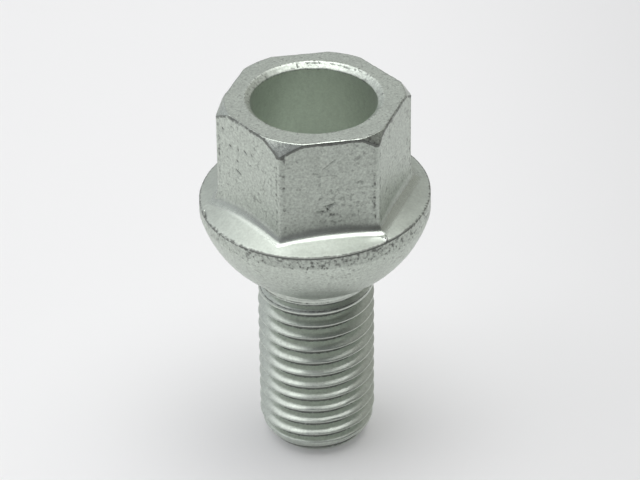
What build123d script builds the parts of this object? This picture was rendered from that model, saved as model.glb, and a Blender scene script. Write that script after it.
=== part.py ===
"""Hollow-head wheel bolt with a ball seat, forged in one piece: hexagon, flange, seat and shank.

Millimetres and degrees. +Z runs along the axis from the threaded end, which is at z = 0, to the head.
The hexagon has corners on +X and -X. The shank is plain, at the diameter over the thread's crests.
"""
from build123d import *
import os
from math import cos, radians, sqrt, tan

# Shank, for an M12 x 1.5 thread, and its rounded lead-in
thread_diameter = 11.85
shank_length = 20.1
end_face_diameter = 8.4
lead_in_length = 3.25

# Ball seat, and the flange whose edge stays a little inside the ball's greatest radius
seat_radius = 12.0
flange_inset = 0.425
flange_edge_height = 1.4
flange_slope = 11.0

# Hexagon, for a 17 mm socket. Its foot fillet takes this share of the ledge outside its corners,
# and its corners are turned off at the top to a circle that clears the flats by the margin.
hex_across_flats = 16.9
hex_height = 11.2
hex_edge_round = 0.2
foot_fillet_share = 0.6
corner_chamfer_margin = 0.4
corner_chamfer_angle = 50.0

# Hollow in the head
recess_diameter = 12.5
recess_depth = 10.0
recess_lip_round = 0.6
recess_floor_round = 1.0

HEX_SIDES = 6
half_side_turn = 180 / HEX_SIDES

shank_radius = thread_diameter / 2
flange_radius = seat_radius - flange_inset
hex_flat_radius = hex_across_flats / 2
hex_corner_radius = hex_flat_radius / cos(radians(half_side_turn))
hex_foot_fillet = foot_fillet_share * (flange_radius - hex_corner_radius)

seat_centre_z = shank_length + sqrt(seat_radius**2 - shank_radius**2)
seat_top_z = seat_centre_z - sqrt(seat_radius**2 - flange_radius**2)
rim_z = seat_top_z + flange_edge_height
flange_peak_z = rim_z + flange_radius * tan(radians(flange_slope))
top_z = rim_z + hex_height


def on_seat(radius):
    """Point of the ball seat at a radius from the axis, in the half section."""
    return (radius, seat_centre_z - sqrt(seat_radius**2 - radius**2))


def turned_body():
    """Shank, ball seat and flange with its conical upper face, turned about the axis."""
    end_corner = (end_face_diameter / 2, 0)
    lead_in_top = (shank_radius, lead_in_length)
    rim = (flange_radius, rim_z)
    peak = (0, flange_peak_z)
    half_section = [
        Line((0, 0), end_corner),
        TangentArc(lead_in_top, end_corner, tangent=(0, -1)),
        Line(lead_in_top, on_seat(shank_radius)),
        ThreePointArc(
            on_seat(shank_radius),
            on_seat((shank_radius + flange_radius) / 2),
            on_seat(flange_radius),
        ),
        Line(on_seat(flange_radius), rim),
        Line(rim, peak),
        Line(peak, (0, 0)),
    ]
    turned = revolve(Plane.XZ * make_face(half_section), axis=Axis.Z)
    # The turned surfaces start and end under the middle of a flat, clear of the hexagon's corners
    return Rot(0, 0, half_side_turn) * turned


def hexagon():
    """Hexagonal prism with softened upright edges and corners turned off to a cone at the top."""
    prism = extrude(
        Pos(0, 0, rim_z) * RegularPolygon(hex_corner_radius, HEX_SIDES), hex_height
    )
    prism = fillet(prism.edges().filter_by(Axis.Z), hex_edge_round)
    land_radius = hex_flat_radius + corner_chamfer_margin
    cone_height = hex_height
    cone_foot_radius = land_radius + cone_height / tan(radians(corner_chamfer_angle))
    corner_cone = Pos(0, 0, top_z - cone_height) * Cone(
        cone_foot_radius,
        land_radius,
        cone_height,
        align=(Align.CENTER, Align.CENTER, Align.MIN),
    )
    return prism & corner_cone


def recess():
    """Blind hollow in the head, with a rounded floor."""
    hollow = Pos(0, 0, top_z - recess_depth) * Cylinder(
        recess_diameter / 2,
        recess_depth,
        align=(Align.CENTER, Align.CENTER, Align.MIN),
    )
    floor_edge = hollow.edges().filter_by(GeomType.CIRCLE).sort_by(Axis.Z)[0]
    return fillet(floor_edge, recess_floor_round)


def foot_edges(bolt):
    """Edges where the hexagon stands on the flange's conical face."""
    return bolt.edges().filter_by(
        lambda edge: edge.bounding_box().min.Z > rim_z and edge.bounding_box().max.Z < flange_peak_z
    )


def recess_mouth(bolt):
    """Edge of the hollow in the head's top face."""
    rings = bolt.faces().sort_by(Axis.Z)[-1].inner_wires()
    return rings[0].edges()


def wheel_bolt():
    """The forging: the hexagon flows into the flange in a concave fillet, and the head is hollowed."""
    bolt = turned_body() + hexagon()
    bolt = fillet(foot_edges(bolt), hex_foot_fillet)
    bolt = bolt - recess()
    return fillet(recess_mouth(bolt), recess_lip_round)


bolt = wheel_bolt()
bolt.label = "wheel_bolt"
os.makedirs("parts", exist_ok=True)
export_step(bolt, "parts/wheel_bolt.step")
print("height", round(top_z, 3), "volume", round(bolt.volume, 1))
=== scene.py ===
# %% [markdown]
# # A wheel bolt, from its forged head to its rolled thread
#
# The real bolt is one piece of steel. Its head is pressed from a round blank, its thread is rolled, and the whole
# bolt is then plated with dull zinc. The lesson follows that order: a round blank is spun, the hexagon is pressed
# into it, a thread is wound on the shank, the knocks of handling are put in, and the plating is painted with nodes.
#
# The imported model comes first. It is the frame that gives every size, and its box is what the visual model must
# stay inside.

import bpy
import bmesh
from math import asin, atan, atan2, cos, exp, hypot, pi, radians, sin, sqrt, tan
from mathutils import Euler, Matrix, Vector, noise


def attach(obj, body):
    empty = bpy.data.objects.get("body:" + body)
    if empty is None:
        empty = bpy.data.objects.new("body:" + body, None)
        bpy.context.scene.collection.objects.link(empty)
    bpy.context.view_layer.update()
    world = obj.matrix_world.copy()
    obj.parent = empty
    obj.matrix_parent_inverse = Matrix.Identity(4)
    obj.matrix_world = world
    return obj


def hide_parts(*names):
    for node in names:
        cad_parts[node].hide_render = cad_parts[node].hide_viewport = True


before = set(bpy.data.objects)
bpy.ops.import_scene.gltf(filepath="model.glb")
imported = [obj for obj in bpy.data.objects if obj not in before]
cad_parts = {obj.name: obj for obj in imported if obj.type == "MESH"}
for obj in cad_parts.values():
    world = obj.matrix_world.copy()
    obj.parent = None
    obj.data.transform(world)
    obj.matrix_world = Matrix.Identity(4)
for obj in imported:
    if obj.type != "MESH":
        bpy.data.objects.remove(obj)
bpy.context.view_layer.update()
MM = 0.001

# %% [markdown]
# ## The sizes
#
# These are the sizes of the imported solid, in millimetres. The top and the flange stay a hair inside it, so that the
# visual model never stands out of the solid's box. The thread is M12 with a pitch of 1.5.

# %% Sizes
TOP = 39.967
RIM = 28.77
FLANGE = 11.57
FLANGE_SLOPE = radians(11)
BALL = 12.0
BALL_CENTRE = 30.535
SHANK = 5.925
FLAT = 8.45
FOOT = 1.5
LANDS = (9.0, 8.85, 8.85, 8.85, 8.71, 8.97)
CHAMFER = radians(40)
BORE = 6.25
BORE_FLOOR = TOP - 10
FLOOR_ROUND = 1.0
PITCH = 1.5
SHANK_TOP = 20.1
LEAD_IN = 3.25
END = 4.2
print("across the flats", 2 * FLAT, "over the thread", 2 * SHANK)

# %% [markdown]
# ## The blank
#
# Before it is pressed, the head is a plain turned shape. A half section of it could be swept in many ways. Spin is
# the operator for a turned part: it carries a row of vertices round the axis and joins the copies with faces.
# Each vertex of the row carries notes: the zone of the bolt that it belongs to, how far along that zone it lies, and
# five numbers that the plating reads much later. Spin copies these notes. One sixth is spun and then copied round,
# which is far quicker than one long spin.

# %% Rows of the half section
SEAT, BAND, EDGE, LEDGE, FILLET, WALL, CORNER, TOP_FACE, MOUTH, HOLLOW, BOTTOM = range(11)
ROWS = {SEAT: 15, BAND: 8, EDGE: 7, LEDGE: 9, FILLET: 14, WALL: 30, CORNER: 12, TOP_FACE: 4, MOUTH: 11, HOLLOW: 4,
        BOTTOM: 8}
STEPS = 68
BLANK_RADIUS = 8
MERGE = 0.002 * MM
FINISH_AND_LIGHT_NOTES = ("worn", "dark", "skin", "dull", "pale")


def blank():
    """Half section of the head as a row of vertices, spun over one flat and copied round to all six."""
    bm = bmesh.new()
    bm.verts.layers.int.new("zone")
    for name in ("along", *FINISH_AND_LIGHT_NOTES):
        bm.verts.layers.float.new(name)
    zone, along = bm.verts.layers.int["zone"], bm.verts.layers.float["along"]
    last = None
    for number, rows in ROWS.items():
        for row in range(rows):
            place = row / (rows - 1)
            spot = bm.verts.new((BLANK_RADIUS * MM, 0, (SHANK_TOP + number + place * 0.9) * MM))
            spot[zone], spot[along] = number, place
            if last:
                bm.edges.new((last, spot))
            last = spot
    bmesh.ops.spin(bm, geom=bm.verts[:] + bm.edges[:], axis=(0, 0, 1), cent=(0, 0, 0), angle=pi / 3, steps=STEPS)
    bmesh.ops.spin(bm, geom=bm.verts[:] + bm.edges[:] + bm.faces[:], axis=(0, 0, 1), cent=(0, 0, 0),
                   angle=5 * pi / 3, steps=5, use_duplicate=True)
    bmesh.ops.remove_doubles(bm, verts=bm.verts[:], dist=MERGE)
    return bm


bolt = blank()
print("blank", len(bolt.verts), "vertices")

# %% [markdown]
# ## The outline of the hexagon
#
# Seen from above, the pressed contours are hexagons whose corners are softened a little. A corner is a small arc, and
# the arc's centre lies on the line from the axis to the corner. The same outline, grown by some distance, is used
# for the foot fillet, so the fillets of two flats meet in a crisp mitre, as they do on the forging.

# %% Hexagon outline
UPRIGHT_ROUND = 0.3


def from_flat(turn):
    """Angle from the middle of the nearest flat. The corners are on +X and -X."""
    return (turn % radians(60)) - radians(30)


def hexagon_radius(turn, flat, soften):
    """Distance from the axis to a hexagon whose flats are that far out."""
    side = abs(from_flat(turn))
    to_corner = radians(30) - side
    centre = (flat - soften) / cos(radians(30))
    touch = atan((flat - soften) * tan(radians(30)) / flat)
    if side <= touch:
        return flat / cos(side)
    return centre * cos(to_corner) + sqrt(soften**2 - (centre * sin(to_corner))**2)


print("corner at", round(hexagon_radius(0, FLAT, UPRIGHT_ROUND), 3))

# %% [markdown]
# ## Nothing on a forging is quite true
#
# The flange came out of the dies a little askew: the rim stands higher on one side, and there the upper face is
# flatter. Surfaces are slightly wavy and edges slightly ragged. Smooth noise at a place in space gives that, and it
# gives the same value on every run.

# %% Unevenness
LEAN, LEAN_TO_X, LEAN_TO_Y = 0.17, 0.39, 0.14
HINGE = 9.0


def lean(turn):
    """How much the rim of the flange is lifted on one side."""
    return LEAN + LEAN_TO_X * cos(turn) + LEAN_TO_Y * sin(turn)


def ledge_slope(turn):
    """Fall of the flange's upper face, which turns about a ring near the foot of the hexagon."""
    return tan(FLANGE_SLOPE) - lean(turn) / (FLANGE - HINGE)


def uneven(radius, height, turn, size):
    """Smooth noise from -1 to 1 with lumps of about that size in millimetres."""
    return noise.noise(Vector((radius * cos(turn), radius * sin(turn), height)) / size)


def smooth(low, high, value):
    """Soft rise from 0 at low to 1 at high. With low above high it falls instead."""
    share = min(max((value - low) / (high - low), 0), 1)
    return share * share * (3 - 2 * share)


print("rim height round the flange", [round(RIM + lean(radians(t)), 2) for t in (-90, 0, 90, 180)])

# %% [markdown]
# ## Pressing the head
#
# Each zone now gets its true form. The ball seat is part of a sphere. The flange's upper face is a shallow cone that
# swells a little towards the hexagon. The flats lean out a little at their foot, and the foot fillet is an arc that
# goes on from there and runs out on the flange. The hexagon's upper corners are turned off at 50 degrees. Moving the
# spun vertices keeps every face the operator made, and the rows stay close where the form turns fast.

# %% Foot fillet and top edge, as radius and height
SWELL, LEAST_SWELL, SWELL_POWER = 0.19, 0.08, 1.5
FLARE_TILT, FLARE_RISE = radians(5), 1.8
MITRE_ROUND = 0.16
LESS_AT_CORNER = 0.25
FOOT_REACH = 0.83 * FOOT
TOP_EDGE_ROUND = 0.15
TOP_EDGE_AT = 9


def on_cone(radius, turn):
    """Height of the flange's upper face, before it swells."""
    return RIM + lean(turn) + (FLANGE - radius) * ledge_slope(turn)


def flare(rise):
    """How far a flat leans out at some height above the fillet."""
    return tan(FLARE_TILT) * FLARE_RISE / 2 * max(1 - rise / FLARE_RISE, 0)**2


def foot_point(turn, share):
    """On the fillet: share 0 where it runs out on the flange, 1 where it meets the flat."""
    side = from_flat(turn)
    foot = FOOT * (1 - LESS_AT_CORNER * (side / radians(30))**2)
    swell = LEAST_SWELL + SWELL * cos(3 * side)
    slope = atan((ledge_slope(turn) + SWELL_POWER * swell / (FLANGE - FLAT - FOOT_REACH)) * cos(side))
    hub = FLAT + flare(0) + foot * cos(FLARE_TILT)
    run_out = hexagon_radius(turn, hub - foot * sin(slope), MITRE_ROUND)
    centre = on_cone(run_out, turn) + swell + foot * cos(slope)
    angle = FLARE_TILT + (1 - share) * (pi / 2 - slope - FLARE_TILT)
    soften = MITRE_ROUND + (UPRIGHT_ROUND - MITRE_ROUND) * share
    return hexagon_radius(turn, hub - foot * cos(angle), soften), centre - foot * sin(angle)


def corner_point(turn, share):
    """Round the top edge: share 0 on the flat, 1 on the top face, with the turned-off corner in between."""
    soft = TOP_EDGE_ROUND + 0.08 * uneven(TOP_EDGE_AT, TOP, turn, 1.2) + 0.05 * uneven(TOP_EDGE_AT, TOP, turn, 0.4)
    land = LANDS[round(turn / radians(60)) % 6]
    wall = hexagon_radius(turn, FLAT, UPRIGHT_ROUND)
    normal = Vector((cos(CHAMFER), sin(CHAMFER)))
    reach = normal.dot(Vector((land, TOP))) - soft
    inner = Vector((wall - soft, TOP - soft))
    low = high = inner
    if normal.dot(inner) > reach:
        low = Vector((wall - soft, (reach - normal.x * (wall - soft)) / normal.y))
        high = Vector(((reach - normal.y * (TOP - soft)) / normal.x, TOP - soft))
    half = (ROWS[CORNER] // 2 - 1) / (ROWS[CORNER] - 1)
    if share < 0.5:
        angle, hub = CHAMFER * share / half, low
    else:
        angle, hub = pi / 2 - (pi / 2 - CHAMFER) * (1 - share) / half, high
    return hub.x + soft * cos(angle), hub.y + soft * sin(angle)


print("fillet from", [round(v, 2) for v in foot_point(pi / 2, 0)], "to", [round(v, 2) for v in foot_point(pi / 2, 1)])

# %% [markdown]
# The lip of the hollow isn't a clean round. Handling has beaten it into a sloping bevel between two small rounds, a
# little wider in some places than in others.

# %% Lip of the hollow
LIP_OUTER, LIP_INNER, LIP_TILT = 0.25, 0.2, radians(52)
LIP_WIDTH, LIP_WIDER, WIDEST_AT = 0.63, 0.11, radians(55)
LIP_AT = 6.5
BEVEL_FROM, BEVEL_TO = 0.2, 0.6


def lip_width(turn):
    """Width of the beaten lip, seen from above."""
    wide = LIP_WIDTH + LIP_WIDER * cos(turn - WIDEST_AT)
    return wide + 0.07 * uneven(LIP_AT, TOP, turn, 1.6) + 0.03 * uneven(LIP_AT, TOP, turn, 0.5)


def mouth_point(turn, share):
    """Share 0 on the top face, 1 on the wall of the hollow."""
    outer_end = Vector((BORE + lip_width(turn) - LIP_OUTER * cos(LIP_TILT), TOP - LIP_OUTER * (1 - sin(LIP_TILT))))
    inner_x = BORE + LIP_INNER * (1 - cos(LIP_TILT))
    inner_end = Vector((inner_x, outer_end.y - (outer_end.x - inner_x) / tan(LIP_TILT)))
    if share <= BEVEL_FROM:
        angle = pi / 2 - (pi / 2 - LIP_TILT) * share / BEVEL_FROM
        hub = outer_end - LIP_OUTER * Vector((-cos(LIP_TILT), sin(LIP_TILT)))
        return hub.x - LIP_OUTER * cos(angle), hub.y + LIP_OUTER * sin(angle)
    if share < BEVEL_TO:
        return tuple(outer_end.lerp(inner_end, (share - BEVEL_FROM) / (BEVEL_TO - BEVEL_FROM)))
    angle = LIP_TILT * (1 - share) / (1 - BEVEL_TO)
    hub = inner_end - LIP_INNER * Vector((-cos(LIP_TILT), sin(LIP_TILT)))
    return hub.x - LIP_INNER * cos(angle), hub.y + LIP_INNER * sin(angle)


print("lip goes down to", round(mouth_point(0, 1)[1], 2))

# %% [markdown]
# One function now knows the whole head. It takes a zone, a share of the way along it and an angle, and gives a radius
# and a height. The surfaces are a few hundredths uneven, always inwards, so the head stays inside the box of the
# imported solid. Zones that meet keep a small gap between their last and first rows, so that no two rows fall together.

# %% All zones of the head
RIM_ROUND = 0.14
ROUND_SHARE = 0.7
SEAT_DIP, BAND_DIP, EDGE_DIP, LEDGE_DIP, FLAT_DIP = 0.012, 0.03, 0.03, 0.02, 0.01


def head_point(zone, share, turn):
    """Radius and height of a spot on the head, in millimetres."""
    rim = RIM + lean(turn)
    ball_top = BALL_CENTRE - sqrt(BALL**2 - FLANGE**2)
    if zone == SEAT:
        start, stop = asin(SHANK / BALL), asin(FLANGE / BALL)
        angle = start + (stop - start) * share
        radius, height = BALL * sin(angle), BALL_CENTRE - BALL * cos(angle)
        dip = SEAT_DIP * (1 + uneven(radius, height, turn, 1.2)) * smooth(0, 0.15, share)
        return radius - dip * sin(angle), height + dip * cos(angle)
    if zone == BAND:
        low, high = ball_top + 0.12, rim - RIM_ROUND - 0.08
        height = low + (high - low) * share
        return FLANGE - BAND_DIP * (1 + uneven(FLANGE, height, turn, 0.8)) * (0.4 + share), height
    if zone == EDGE:
        angle = share * (pi / 2 - atan(ledge_slope(turn)))
        ragged = EDGE_DIP * (1 + uneven(FLANGE, rim, turn, 0.45))
        return FLANGE - ragged - RIM_ROUND * (1 - cos(angle)), rim - RIM_ROUND * (1 - sin(angle)) - 0.5 * ragged
    if zone == LEDGE:
        foot, foot_height = foot_point(turn, 0)
        start = FLANGE - RIM_ROUND - 0.04
        inward = 0.06 + 0.92 * share
        spot = start + (foot - start) * inward
        sink = LEDGE_DIP * (1 - uneven(spot, rim, turn, 1.4)) * (1 - share)
        return spot, on_cone(spot, turn) + (foot_height - on_cone(foot, turn)) * inward**SWELL_POWER - sink
    if zone == FILLET:
        return foot_point(turn, share)
    if zone == WALL:
        low, high = foot_point(turn, 1)[1], corner_point(turn, 0)[1]
        height = low + (high - low) * (0.012 + 0.976 * share)
        dip = FLAT_DIP * (1 + uneven(FLAT, height, turn, 1.5)) * smooth(0, 0.3, share) * smooth(1, 0.95, share)
        return hexagon_radius(turn, FLAT + flare(height - low), UPRIGHT_ROUND) - dip, height
    if zone == CORNER:
        return corner_point(turn, share)
    if zone == TOP_FACE:
        outer, inner = corner_point(turn, 1)[0], mouth_point(turn, 0)[0]
        return outer + (inner - outer) * (0.06 + 0.9 * share), TOP
    if zone == MOUTH:
        return mouth_point(turn, share)
    if zone == HOLLOW:
        high, low = mouth_point(turn, 1)[1], BORE_FLOOR + FLOOR_ROUND
        return BORE, high + (low - high) * (0.01 + 0.96 * share)
    angle = pi / 2 * min(share / ROUND_SHARE, 1)
    radius = BORE - FLOOR_ROUND + FLOOR_ROUND * cos(angle)
    inward = max(share - ROUND_SHARE, 0) / (1 - ROUND_SHARE)
    return radius * (1 - inward), BORE_FLOOR + FLOOR_ROUND * (1 - sin(angle))


# %% Press the blank
def press(bm):
    """Moves every spun vertex to its place on the head."""
    zone = bm.verts.layers.int["zone"]
    along = bm.verts.layers.float["along"]
    for spot in bm.verts:
        turn = atan2(spot.co.y, spot.co.x)
        radius, height = head_point(spot[zone], spot[along], turn)
        spot.co = Vector((radius * cos(turn), radius * sin(turn), height)) * MM


press(bolt)
# The last ring of the floor has shrunk to a point and is merged before anything is joined to the head
bmesh.ops.remove_doubles(bolt, verts=bolt.verts[:], dist=MERGE)
print("head pressed", len(bolt.verts), "vertices")

# %% [markdown]
# ## Where the plating is worn, bare, grainy, dull or pale, and where light and shade are painted
#
# The finish isn't the same everywhere. Edges that other bolts rub against are burnished bright, and on the side
# towards the camera the top edges also get a painted highlight. Painted shade darkens a line under the top edges,
# the round of the flange's rim and the band under it, most on the side towards the camera. Nicks and dings show dark
# bare steel, and the flats keep the grain of the forging. The hollow is dull, and it is painted pale, which stands
# in for the light it gathers. The five notes on each vertex say how much of that there is, and the shader breaks
# their limits up with noise. A table gives the grain, the dullness and the paleness of each zone, and the function
# adds what changes within a zone: the fillet, for one, takes on the finish of the flat where they meet.

# %% Notes for the plating
# Columns: grain, dullness and paleness. In the hollow and its bottom the paleness is painted light, standing in for the
# light the hollow gathers.
ZONE_FINISH_AND_LIGHT = {SEAT: (0.8, 0.45, 0.04), BAND: (1.1, 0.5, 0.03), EDGE: (0.8, 0.3, 0.03), LEDGE: (0.2, 0.4, -0.03),
               FILLET: (0.15, 0, 0), WALL: (1.0, 0.6, 0.05), CORNER: (0.6, 0, 0), TOP_FACE: (0.9, 0.3, 0.1),
               MOUTH: (1.2, 0.6, 0.05), HOLLOW: (0.2, 0.75, 0.18), BOTTOM: (0.2, 0.75, 0.18)}


def note_finish_and_light(bm):
    """Sets the five notes from the zone and the place of each vertex."""
    zone, along = bm.verts.layers.int["zone"], bm.verts.layers.float["along"]
    worn, dark, skin, dull, pale = (bm.verts.layers.float[name] for name in FINISH_AND_LIGHT_NOTES)
    for spot in bm.verts:
        share, kind = spot[along], spot[zone]
        turn = atan2(spot.co.y, spot.co.x)
        to_upright = FLAT * (radians(30) - abs(from_flat(turn)))
        on_upright = 1 - smooth(0, 0.3, to_upright)
        beside_upright = smooth(0.05, 0.2, to_upright) * (1 - smooth(0.4, 0.8, to_upright))
        to_viewer = smooth(0.5, 0.95, -sin(turn))
        spot[skin], spot[dull], spot[pale] = ZONE_FINISH_AND_LIGHT[kind]
        if kind == SEAT:
            spot[dark] = 0.45 * smooth(0.7, 1, share)
        elif kind == BAND:
            # Mottled bare steel, with painted shade added on the side towards the camera and up under the rim.
            spot[dark] = 0.46 + 0.09 * to_viewer + 0.09 * share
        elif kind == EDGE:
            # Painted shade over the rim's round, which hides its highlight; strongest on the side towards the camera.
            spot[dark] = 0.72 + 0.2 * to_viewer
        elif kind == LEDGE:
            # Painted shade on the upper face where it meets the rim's round.
            spot[dark] = 0.5 * (1 - smooth(0, 0.08, share))
            spot[dull] += 0.25 * smooth(0.5, -0.3, cos(turn))
        elif kind == FILLET:
            at_end, at_flat = 1 - smooth(0, 0.15, share), smooth(0.5, 1, share)
            spot[skin] += 0.85 * at_flat
            spot[dull] = 0.5 * at_end + 0.6 * at_flat
            spot[pale] = 0.05 * at_flat - 0.03 * at_end
            spot[dark] = 0.3 * on_upright
        elif kind == WALL:
            # Painted shade in a line under the top edge, strongest on the side towards the camera; the strips beside
            # the uprights are darker as well.
            shade_under_edge = smooth(0.95 + 0.025 * to_viewer, 1 - 0.01 * to_viewer, share)
            spot[dark] = max(0.58 * beside_upright, (0.75 + 0.25 * to_viewer) * shade_under_edge)
            spot[worn] = 0.3 * on_upright
        elif kind == CORNER:
            spot[skin] += 0.7 * to_viewer
            # Painted shade on the top edge: on the lower part of its round near the corners and on the side towards the
            # camera, and over the chamfer as well elsewhere.
            limit = 0.85 - 0.4 * to_viewer - (0.41 - 0.4 * to_viewer) * (1 - smooth(1.2, 2.2, to_upright))
            spot[dark] = (0.8 + 0.2 * to_viewer) * (1 - smooth(limit - 0.05, limit + 0.12, share))
            spot[dark] *= 1 - 0.1 * on_upright
            # Burnished wear on the top edge's round, with a painted highlight added on the side towards the camera.
            spot[worn] = (0.2 + 0.1 * to_viewer) * smooth(0.5, 0.7, share) * (1 - smooth(0.85, 1, share))
        elif kind == MOUTH:
            spot[dark] = 0.25 + 0.25 * (1 - smooth(0.15, 0.4, share))


note_finish_and_light(bolt)
print("notes set on", len(bolt.verts), "vertices")

# %% [markdown]
# ## The thread
#
# A thread could be faked with rings, but rings don't climb. Spin also takes a step along the axis, so one pitch of
# the thread's section is wound up the shank as a screw. Where one turn ends the next begins, and merging the doubles
# joins them. A rolled crest has a small round nose and a broad shoulder, which catches the light as a soft stripe.

# %% Wind the thread
THREAD_STEPS = 104
TURNS = 15
CREST_AT = 0.59
NOSE_ROUND, SHOULDER_ROUND, ROOT_ROUND = 0.12, 3.0, 0.2
NOSE_END, FLANK = radians(50), radians(60)


def half_section():
    """Height above a crest and radius: the crest's nose, its broad shoulder, a short flank and half the root."""
    crest = SHANK - 0.003
    points = []
    for step in range(5):
        angle = NOSE_END * step / 4
        points.append((NOSE_ROUND * sin(angle), crest - NOSE_ROUND * (1 - cos(angle))))
    nose_up, nose_radius = points[-1]
    for step in range(1, 4):
        angle = NOSE_END + (FLANK - NOSE_END) * step / 3
        points.append((nose_up + SHOULDER_ROUND * (sin(angle) - sin(NOSE_END)),
                       nose_radius - SHOULDER_ROUND * (cos(NOSE_END) - cos(angle))))
    up, radius = points[-1]
    root_start = PITCH / 2 - ROOT_ROUND * sin(FLANK)
    root_edge = radius - (root_start - up) * tan(FLANK)
    points.append(((up + root_start) / 2, (radius + root_edge) / 2))
    for step in range(4, -1, -1):
        angle = FLANK * step / 4
        points.append((PITCH / 2 - ROOT_ROUND * sin(angle), root_edge - ROOT_ROUND * (cos(angle) - cos(FLANK))))
    return points


def wound_thread():
    """One pitch of the section, from crest to crest, wound for one turn and copied up the shank turn by turn."""
    bm = bmesh.new()
    along = bm.verts.layers.float.new("along")
    low = CREST_AT - 2 * PITCH
    half = half_section()
    outline = [*half, *((PITCH - up, radius) for up, radius in reversed(half[:-1]))]
    row = []
    for up, radius in outline:
        spot = bm.verts.new((radius * MM, 0, (low + up) * MM))
        spot[along] = up if up <= PITCH / 2 else up - PITCH
        row.append(spot)
    edges = [bm.edges.new(pair) for pair in zip(row, row[1:])]
    bmesh.ops.spin(bm, geom=row + edges, axis=(0, 0, 1), cent=(0, 0, 0), angle=2 * pi, steps=THREAD_STEPS,
                   dvec=(0, 0, PITCH / THREAD_STEPS * MM))
    bmesh.ops.spin(bm, geom=bm.verts[:] + bm.edges[:] + bm.faces[:], axis=(0, 0, 1), cent=(0, 0, 0), angle=0,
                   steps=TURNS, dvec=(0, 0, PITCH * MM), use_duplicate=True)
    bmesh.ops.remove_doubles(bm, verts=bm.verts[:], dist=MERGE)
    return bm


shank = wound_thread()
print("thread wound", len(shank.verts), "vertices")

# %% [markdown]
# The rounded lead-in at the end and the run-out under the ball come from limiting the radius. In the run-out the
# rolling dies leave the crests half filled: each is a flat with a fine seam on either side. The notes paint shade
# into the roots, on the lower flank under each nose and into the seams.

# %% Lead-in and run-out
CREST_LOSS = 0.06
SEAM_AT, SEAM_WIDTH, SEAM_DEPTH = 0.2, 0.05, 0.06
ROOT_FILL = 0.8
THREAD_DIP = 0.012


def lead_in(height):
    """Greatest radius at a height, where the end is rounded."""
    if height >= LEAD_IN:
        return SHANK
    bend = (LEAD_IN**2 + (SHANK - END)**2) / (2 * (SHANK - END))
    return SHANK - bend + sqrt(bend**2 - (LEAD_IN - max(height, 0))**2)


def limit_thread(bm):
    """Lifts the groove out of the steel under the ball, and keeps the crests inside the rounded end."""
    for name in FINISH_AND_LIGHT_NOTES:
        bm.verts.layers.float.new(name)
    along = bm.verts.layers.float["along"]
    dark, skin, dull, pale = (bm.verts.layers.float[name] for name in FINISH_AND_LIGHT_NOTES[1:])
    for spot in bm.verts:
        height = spot.co.z / MM
        radius = hypot(spot.co.x, spot.co.y) / MM
        turn = atan2(spot.co.y, spot.co.x)
        flat = SHANK - CREST_LOSS * smooth(16.2, 18.2, height)
        from_crest = abs(spot[along])
        seam = smooth(16.8, 18.0, height) * exp(-((from_crest - SEAM_AT) / SEAM_WIDTH)**2)
        wanted = min(flat, radius + ROOT_FILL * smooth(18.0, 20.4, height)) - SEAM_DEPTH * seam
        wanted = min(wanted, lead_in(height))
        wanted -= THREAD_DIP * (1 + uneven(SHANK, height, turn, 0.7))
        spot.co.x *= wanted / radius
        spot.co.y *= wanted / radius
        # Painted shade: dark in the roots, on the lower flank under each nose and in the seams, fading out towards the
        # neck.
        nose_shade, root_shade = smooth(0.03, -0.03, spot[along]), smooth(0.5, 0.66, from_crest)
        spot[dark] = max(0.4 * nose_shade, 0.95 * root_shade, 0.9 * seam) * smooth(19.9, 19.3, height)
        spot[skin], spot[dull], spot[pale] = 0.35, 0.2, 0.03


limit_thread(shank)
print("root radius", round(half_section()[-1][1], 3))

# %% [markdown]
# ## Cutting the ends and joining the pieces
#
# The wound strip runs past both ends, so it is cut off flat at the end face and at the neck. The open loop at the end
# is filled. The loop at the neck has fewer vertices than the ball's first ring, and bridging joins two such loops
# all the same, so head and shank become one closed skin, as the one piece of steel is.

# %% Cut and join
NECK = 19.9


def cut(bm, height, upper):
    """Cuts a mesh off level at a height and gives the open loop's edges."""
    bmesh.ops.bisect_plane(bm, geom=bm.verts[:] + bm.edges[:] + bm.faces[:], dist=1e-8, plane_co=(0, 0, height * MM),
                           plane_no=(0, 0, 1), clear_outer=upper, clear_inner=not upper)
    return [e for e in bm.edges if e.is_boundary and all(abs(v.co.z - height * MM) < 1e-7 for v in e.verts)]


cut(shank, NECK, True)
end_loop = cut(shank, 0, False)
bmesh.ops.edgeloop_fill(shank, edges=end_loop)
shank_mesh = bpy.data.meshes.new("shank")
shank.to_mesh(shank_mesh)
shank.free()
bolt.from_mesh(shank_mesh)
bpy.data.meshes.remove(shank_mesh)
open_loops = [e for e in bolt.edges if e.is_boundary]
bmesh.ops.bridge_loops(bolt, edges=open_loops)
bmesh.ops.remove_doubles(bolt, verts=bolt.verts[:], dist=MERGE)
print("open edges left", sum(not e.is_manifold for e in bolt.edges))

# %% [markdown]
# ## Knocks and flash
#
# The bolt has been handled. There are nicks in two flats and in the lip of the hollow, dings on the crests of the
# thread, and thin lines of flash where the dies met at the flange. Nicks and flash are short strokes: a start, an end,
# a width, a depth and the way the metal was pushed. A ridge is a stroke with a negative depth. The faces near the
# strokes are divided first, so that the strokes have vertices to move. A ding presses a round spot of a crest flat.

# %% Strokes on the metal
FRONT_FLAT, LEFT_FLAT = radians(-90), radians(210)
DOWN = Vector((0, 0, -1))
FULL_MARK = 0.07


def on_flat(turn, start, end, width, depth):
    """Stroke on the flat that looks towards an angle, given across and up."""
    out, aside = Vector((cos(turn), sin(turn), 0)), Vector((-sin(turn), cos(turn), 0))
    ends = [out * FLAT + aside * across + Vector((0, 0, up)) for across, up in (start, end)]
    return (*ends, width, depth, -out)


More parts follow.
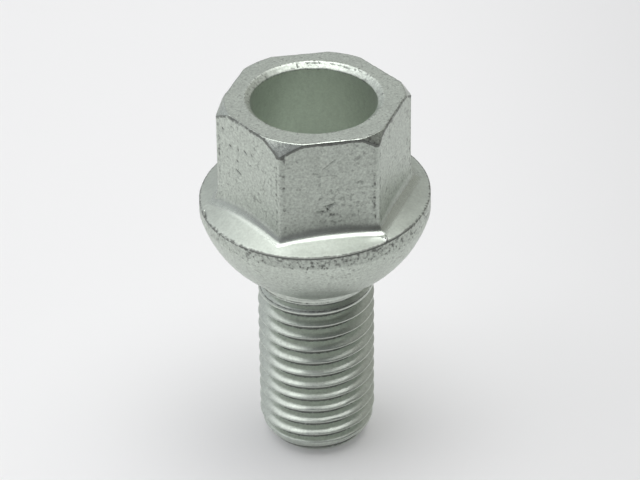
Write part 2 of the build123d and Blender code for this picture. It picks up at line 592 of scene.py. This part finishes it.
def on_ledge(start, end, width, depth):
    """Stroke on the flange's upper face, seen from above."""
    ends = [Vector((x, y, on_cone(hypot(x, y), atan2(y, x)))) for x, y in (start, end)]
    return (*ends, width, depth, DOWN)


def on_lip(start, end, width, depth):
    """Stroke on the bevelled lip of the hollow, given as angle and radius."""
    ends = []
    for angle, radius in (start, end):
        turn = radians(angle)
        fall = (BORE + lip_width(turn) - LIP_OUTER * cos(LIP_TILT) - radius) / tan(LIP_TILT)
        ends.append(Vector((radius * cos(turn), radius * sin(turn), TOP - max(fall, 0) - 0.03)))
    return (*ends, width, depth, DOWN)


FRONT_MARKS = (
    ((-1.2, 32.15), (-0.35, 32.1), 0.08, 0.1), ((-0.4, 32.55), (0.55, 32.9), 0.1, 0.13),
    ((-0.3, 32.5), (-0.1, 32.15), 0.12, 0.13), ((-0.05, 31.8), (0.5, 31.65), 0.07, 0.09),
    ((-0.7, 36.95), (0.7, 38.05), 0.06, 0.05), ((-1.6, 36.65), (-1.25, 36.5), 0.07, 0.07),
    ((-1.3, 36.5), (-0.9, 36.6), 0.06, 0.06), ((-1.05, 33.5), (-0.6, 33.85), 0.08, 0.07),
    ((2.3, 35.45), (2.35, 35.4), 0.09, 0.08), ((2.7, 35.25), (3.6, 35.15), 0.06, 0.06),
    ((3.05, 34.6), (3.75, 34.55), 0.06, 0.05), ((2.85, 31.75), (2.9, 31.8), 0.1, 0.1),
    ((3.9, 33.2), (4.55, 33.15), 0.07, 0.07), ((4.5, 32.8), (4.5, 32.7), 0.09, 0.08),
    ((4.5, 32.3), (4.5, 32.2), 0.09, 0.08))
LEFT_MARKS = (
    ((-2.9, 36.6), (-2.5, 36.45), 0.16, 0.08), ((-3.2, 35.95), (-3.15, 35.9), 0.15, 0.08),
    ((-1.5, 36.85), (-1.4, 36.45), 0.13, 0.07), ((-0.55, 37.0), (-0.1, 36.75), 0.15, 0.07),
    ((0.45, 37.4), (0.75, 36.8), 0.12, 0.06), ((-1.95, 34.25), (-1.05, 33.95), 0.14, 0.08),
    ((1.35, 36.4), (1.8, 36.0), 0.12, 0.06), ((0.3, 35.75), (0.6, 35.7), 0.12, 0.06),
    ((-3.9, 38.1), (-3.6, 37.9), 0.15, 0.07), ((-2.45, 38.85), (-2.4, 38.8), 0.16, 0.08),
    ((-1.75, 35.35), (-1.35, 35.2), 0.13, 0.07), ((2.3, 38.2), (2.5, 38.1), 0.12, 0.06))
LEDGE_MARKS = (
    ((4.55, -8.9), (5.4, -10.15), 0.11, -0.11), ((5.4, -8.55), (5.4, -10.15), 0.11, -0.11),
    ((4.75, -8.75), (5.35, -9.6), 0.07, 0.07), ((-10.3, 0.1), (-11.3, -0.2), 0.1, -0.025),
    ((-9.5, 2.4), (-9.8, 0.35), 0.1, 0.08), ((-9.8, 0.35), (-10.3, 0.1), 0.1, 0.08),
    ((-11.2, -0.9), (-11.25, -1.9), 0.12, 0.1), ((10.35, 1.9), (10.7, 0.4), 0.35, 0.045))
LIP_MARKS = (
    ((95.2, 7.0), (94.2, 6.4), 0.08, 0.12), ((87, 6.74), (83.5, 6.7), 0.07, 0.07),
    ((81.5, 6.7), (77, 6.68), 0.08, 0.08), ((76, 6.7), (74.5, 6.68), 0.07, 0.07),
    ((66, 6.7), (62, 6.69), 0.07, 0.07), ((59.5, 6.7), (56.5, 6.7), 0.07, 0.07),
    ((54, 6.7), (48, 6.66), 0.08, 0.08), ((44, 6.72), (42, 6.7), 0.07, 0.06),
    ((39, 6.76), (36, 6.74), 0.07, 0.06))
MARKS = [*(on_flat(FRONT_FLAT, *mark) for mark in FRONT_MARKS), *(on_flat(LEFT_FLAT, *mark) for mark in LEFT_MARKS),
         *(on_ledge(*mark) for mark in LEDGE_MARKS), *(on_lip(*mark) for mark in LIP_MARKS)]


def stroke(bm, start, end, width, depth, push):
    """Moves the metal along one stroke and notes it as dark, or as worn where it stands up."""
    tone = bm.verts.layers.float["dark" if depth > 0 else "worn"]
    line = end - start
    middle, reach = (start + end) / 2, line.length / 2 + width
    for spot in bm.verts:
        place = spot.co / MM
        if (place - middle).length > reach:
            continue
        share = min(max((place - start).dot(line) / line.length_squared, 0), 1)
        away = (place - start - line * share).length / width
        if away < 1:
            amount = (1 - away * away) * (0.45 + 0.55 * sin(pi * (0.15 + 0.7 * share)))
            spot.co += push * depth * amount * MM
            spot[tone] = max(spot[tone], amount * min(abs(depth) / FULL_MARK, 1))


def refine(bm, strokes, margin):
    """Divides the edges that lie near a stroke."""
    near = []
    for edge in bm.edges:
        middle = (edge.verts[0].co + edge.verts[1].co) / 2 / MM
        for start, end, width, *_ in strokes:
            if (middle - (start + end) / 2).length < (end - start).length / 2 + width + margin:
                near.append(edge)
                break
    bmesh.ops.subdivide_edges(bm, edges=near, cuts=2, use_grid_fill=True)
    return len(near)


print("edges divided", refine(bolt, MARKS, margin=0.1))
for mark in MARKS:
    stroke(bolt, *mark)

# %% Dings on the crests
DING_DEPTH = 0.09
DINGS = ((-104.8, 6.28, 0.45), (-81.8, 4.79, 0.5), (-62.5, 6.37, 0.45), (-97, 14.9, 0.3), (-115, 9.8, 0.3))


def ding(bm, turn, height, size):
    """Presses the thread flat in one spot."""
    dark = bm.verts.layers.float["dark"]
    out = Vector((cos(radians(turn)), sin(radians(turn)), 0))
    centre = out * SHANK + Vector((0, 0, height))
    for spot in bm.verts:
        place = spot.co / MM - centre
        if place.length < size:
            spot.co -= out * MM * max(place.dot(out) + DING_DEPTH, 0) * (1 - (place.length / size)**2)
            spot[dark] = max(spot[dark], 0.55 * (1 - place.length / size))


for turn, height, size in DINGS:
    ding(bolt, turn, height, size)
bmesh.ops.recalc_face_normals(bolt, faces=bolt.faces[:])
print("open edges", sum(not e.is_manifold for e in bolt.edges), "volume mm3", round(bolt.calc_volume() / MM**3, 1))

# %% [markdown]
# The finished skin becomes one object at the origin, unturned and unscaled. Its faces are shaded smooth, because
# every real edge is a small round in the mesh.

# %% Make the piece
mesh = bpy.data.meshes.new("bolt_body")
bolt.to_mesh(mesh)
bolt.free()
for face in mesh.polygons:
    face.use_smooth = True
piece = bpy.data.objects.new("bolt_body", mesh)
bpy.context.scene.collection.objects.link(piece)
print("triangles", sum(len(face.vertices) - 2 for face in mesh.polygons))

# %% [markdown]
# ## A small language for shaders
#
# Node trees are easier to read as sums than as wires. This class wraps one socket. Arithmetic on it adds Math nodes,
# and one method adds any other node, with its settings and the values or links of its sockets.

# %% Shader arithmetic
class Shade:
    """One socket of a node tree, with arithmetic."""

    def __init__(self, tree, socket=None):
        self.tree = tree
        self.socket = socket

    def node(self, kind, settings=None, sockets=None, out=0):
        """Adds a node of any kind and gives one of its outputs."""
        made = self.tree.nodes.new("ShaderNode" + kind)
        for name, value in (settings or {}).items():
            if name == "stops":
                while len(made.color_ramp.elements) < len(value):
                    made.color_ramp.elements.new(1)
                for stop, (place, shade) in zip(made.color_ramp.elements, value):
                    stop.position = place
                    stop.color = (shade, shade, shade, 1) if isinstance(shade, (int, float)) else (*shade, 1)
            else:
                setattr(made, name, value)
        for name, value in (sockets or {}).items():
            if isinstance(value, Shade):
                self.tree.links.new(value.socket, made.inputs[name])
            else:
                made.inputs[name].default_value = value
        return Shade(self.tree, made.outputs[out])

    def maths(self, operation, first, second=0.0):
        return self.node("Math", {"operation": operation}, {0: first, 1: second})

    def __add__(self, other):
        return self.maths("ADD", self, other)

    def __radd__(self, other):
        return self.maths("ADD", other, self)

    def __sub__(self, other):
        return self.maths("SUBTRACT", self, other)

    def __rsub__(self, other):
        return self.maths("SUBTRACT", other, self)

    def __mul__(self, other):
        return self.maths("MULTIPLY", self, other)

    def __rmul__(self, other):
        return self.maths("MULTIPLY", other, self)

    def step(self, low, high):
        """0 below low, 1 above high, and a soft rise between them."""
        return self.node("MapRange", {"interpolation_type": "SMOOTHSTEP"},
                         {"Value": self, "From Min": low, "From Max": high})

    def tint(self, under, over):
        """Colour that goes from under to over as this value goes from 0 to 1."""
        return self.node("Mix", {"data_type": "RGBA"}, {0: self, 6: under, 7: over}, out=2)


# %% [markdown]
# ## The plating
#
# Dull zinc is a metal with a faint green cast. It isn't even: the forging's skin shows through as grain, cloudy
# patches and dark specks. Noise on Object coordinates gives those, so the pattern stays on the bolt when the camera
# moves. The notes on the vertices say where the metal is burnished and where a highlight is painted on, where bare
# dark steel shows and where shade is painted in the same dark colour, where it is dull, and where it is pale; the
# hollow's paleness is painted light.

# %% Zinc plate
ZINC_LOW, ZINC_HIGH = (0.283, 0.305, 0.276), (0.85, 0.915, 0.828)
# Dark steel colours bare metal and also paints shade; the burnished colour marks wear and also paints highlights.
STEEL_AND_SHADE = (0.14, 0.145, 0.135, 1)
BURNISHED_AND_HIGHLIGHT = (0.88, 0.89, 0.87, 1)


def zinc_plate():
    finish = bpy.data.materials.new("zinc_plate")
    finish.use_nodes = True
    tree = finish.node_tree
    shader = tree.nodes["Principled BSDF"]
    shader.inputs["Metallic"].default_value = 1.0
    start = Shade(tree)
    place = start.node("TexCoord", out="Object")
    notes = [start.node("Attribute", {"attribute_name": name}, out="Fac") for name in FINISH_AND_LIGHT_NOTES]
    worn, dark, skin, dull, pale = notes

    def lumps(scale, detail):
        return start.node("TexNoise", {}, {"Vector": place, "Scale": scale, "Detail": detail, "Roughness": 0.6})

    cloud, patch, grain, fleck = lumps(420.0, 3.0), lumps(1700.0, 2.0), lumps(4300.0, 3.0), lumps(2900.0, 1.0)
    tone = 0.45 + 0.25 * (cloud - 0.5) + 0.2 * (patch - 0.5) + (0.15 + 0.9 * skin) * (grain - 0.5) + pale
    colour = start.node("ValToRGB", {"stops": [(0.0, ZINC_LOW), (1.0, ZINC_HIGH)]}, {"Fac": tone})
    specks = (fleck + 0.7 * (cloud - 0.5) + 0.3 * (grain - 0.5)).step(0.6, 0.76) * skin
    bare_and_shaded = (dark + 0.9 * (fleck - 0.5) + 0.5 * (grain - 0.5)).step(0.5, 0.85)
    rubbed_and_highlit = (worn + 0.7 * (patch - 0.5) + 0.5 * (grain - 0.5)).step(0.4, 0.8)
    colour = (0.45 * specks).tint(colour, STEEL_AND_SHADE)
    # Burnished where worn, with painted highlights; dark steel where bare, and painted shade in roots, under edges and
    # at the rim.
    colour = rubbed_and_highlit.tint(colour, BURNISHED_AND_HIGHLIGHT)
    colour = (0.8 * bare_and_shaded).tint(colour, STEEL_AND_SHADE)
    rough = 0.26 + 0.3 * dull + 0.12 * (cloud - 0.5) + 0.15 * bare_and_shaded - 0.04 * rubbed_and_highlit
    dents = start.node("Bump", {}, {"Strength": 0.25, "Distance": 0.00003, "Height": (0.3 + skin) * grain})
    tree.links.new(colour.socket, shader.inputs["Base Color"])
    tree.links.new(rough.socket, shader.inputs["Roughness"])
    tree.links.new(dents.socket, shader.inputs["Normal"])
    return finish


mesh.materials.append(zinc_plate())
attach(piece, "root")
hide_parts("wheel_bolt")
print("plated", piece.name)

# %% [markdown]
# ## The studio
#
# The studio has a white sweep, soft light from overhead, from the left and a little from the front left, a pale
# cool wall to the left and a darker room behind the camera, which the fillet at the hexagon's foot mirrors as a dark
# band. The floor comes first. It is a pale sheet with a faint glow, which is painted light that lifts the shadows on
# it. Its colour is painted shade: darker towards the camera and a little darker to the right.

# %% Floor
floor_mesh = bpy.data.meshes.new("floor")
sheet = bmesh.new()
bmesh.ops.create_grid(sheet, x_segments=1, y_segments=1, size=3)
sheet.to_mesh(floor_mesh)
sheet.free()
floor = bpy.data.objects.new("floor", floor_mesh)
bpy.context.scene.collection.objects.link(floor)
pale = bpy.data.materials.new("pale_floor")
pale.use_nodes = True
sheet_shader = pale.node_tree.nodes["Principled BSDF"]
sheet_shader.inputs["Roughness"].default_value = 0.9
# The floor's faint glow is painted light, which lifts the shadows on it.
sheet_shader.inputs["Emission Color"].default_value = (1, 1, 1, 1)
sheet_shader.inputs["Emission Strength"].default_value = 0.13
# The picture's back and left, in the bolt's frame
BACK, LEFT = Vector((0.164, 0.986, 0)), Vector((-0.986, 0.164, 0))
ground = Shade(pale.node_tree)
ground_at = ground.node("TexCoord", out="Object")
behind = ground.node("VectorMath", {"operation": "DOT_PRODUCT"}, {0: ground_at, 1: BACK}, out="Value")
aside = ground.node("VectorMath", {"operation": "DOT_PRODUCT"}, {0: ground_at, 1: LEFT}, out="Value")
# Painted shade on the floor, for the metal to mirror: a little darker to the right, much darker towards the camera.
sheet_side_shade = aside.step(-0.06, 0.0).tint((0.6, 0.6, 0.6, 1), (0.73, 0.73, 0.73, 1))
shaded_floor = behind.step(-0.105, -0.04).tint((0.25, 0.25, 0.25, 1), sheet_side_shade)
pale.node_tree.links.new(shaded_floor.socket, sheet_shader.inputs["Base Color"])
floor_mesh.materials.append(pale)
print("floor laid")

# %% [markdown]
# Three softboxes light the bolt. An area light's energy is shared out over its face, so the helper takes a brightness
# and works the energy out from the panel's size. The brightest hangs overhead, a small one stands at the front left,
# and a broad weak one stands on the left.

# %% Softboxes
OVERHEAD_X, OVERHEAD_Y = 0.0518, 0.0066


def softbox(name, across, deep, shine, place, aim, turn=0):
    """A lit panel of that brightness, facing a point and turned about its own middle."""
    panel = bpy.data.lights.new(name, "AREA")
    panel.shape = "ELLIPSE"
    panel.size, panel.size_y = across, deep
    panel.energy = shine * pi * pi / 4 * across * deep
    made = bpy.data.objects.new(name, panel)
    made.location = place
    made.rotation_mode = "QUATERNION"
    facing = (Vector(aim) - Vector(place)).to_track_quat("-Z", "Y")
    made.rotation_quaternion = facing @ Euler((0, 0, turn)).to_quaternion()
    bpy.context.scene.collection.objects.link(made)
    print(name, across, "by", deep, "m")


softbox("overhead_softbox", across=0.48, deep=0.42, shine=2.9, place=(OVERHEAD_X, OVERHEAD_Y, 0.49),
        aim=(OVERHEAD_X, OVERHEAD_Y, 0), turn=radians(-9.4))
softbox("front_softbox", across=0.2, deep=0.11, shine=2.3, place=(-0.2333, -0.0783, 0.45), aim=(0, 0, 0.015))
softbox("left_softbox", across=0.7, deep=0.32, shine=0.95, place=(-0.3858, 0.1362, 0.525), aim=(0, 0, 0.02))

# %% [markdown]
# The room is what the metal mirrors between the lamps: a pale, slightly cool wall on the left and a dimmer one on
# the right, both darker behind the camera.

# %% Room
world = bpy.data.worlds.new("room")
bpy.context.scene.world = world
world.use_nodes = True
room = Shade(world.node_tree)
way = room.node("TexCoord", out="Generated")


def towards(side):
    """1 where a direction of the room points to that side, -1 where it points away."""
    return room.node("VectorMath", {"operation": "DOT_PRODUCT"}, {0: way, 1: side}, out="Value")


depth = towards(BACK).step(-0.5, 0.4)
left_wall = depth.tint((0.4, 0.4, 0.43, 1), (0.67, 0.68, 0.71, 1))
right_wall = depth.tint((0.13, 0.13, 0.13, 1), (0.44, 0.44, 0.42, 1))
sweep = towards(LEFT).step(-0.7, 0.8).tint(right_wall, left_wall)
backdrop = world.node_tree.nodes["Background"]
world.node_tree.links.new(sweep.socket, backdrop.inputs["Color"])
print("room lit")

# %% [markdown]
# ## The camera
#
# The lens and the camera's place were found by matching the outlines of the hexagon, the hollow and the ball seat
# with those in the photograph. It is a long lens, a little over a third of a metre away.

# %% Camera
lens = bpy.data.cameras.new("camera")
lens.lens = 192.1
lens.sensor_width = 36
ROLL = radians(-0.605)
camera = bpy.data.objects.new("camera", lens)
bpy.context.scene.collection.objects.link(camera)
eye = Vector((-46.8, -281.1, 214.2)) * MM
aim = Vector((0.455, -0.076, 23.16)) * MM
camera.rotation_mode = "QUATERNION"
camera.location = eye
camera.rotation_quaternion = (aim - eye).to_track_quat("-Z", "Y") @ Euler((0, 0, ROLL)).to_quaternion()
bpy.context.scene.camera = camera
bpy.context.scene.view_settings.view_transform = "Standard"
print("camera", round((aim - eye).length, 4), "m away")
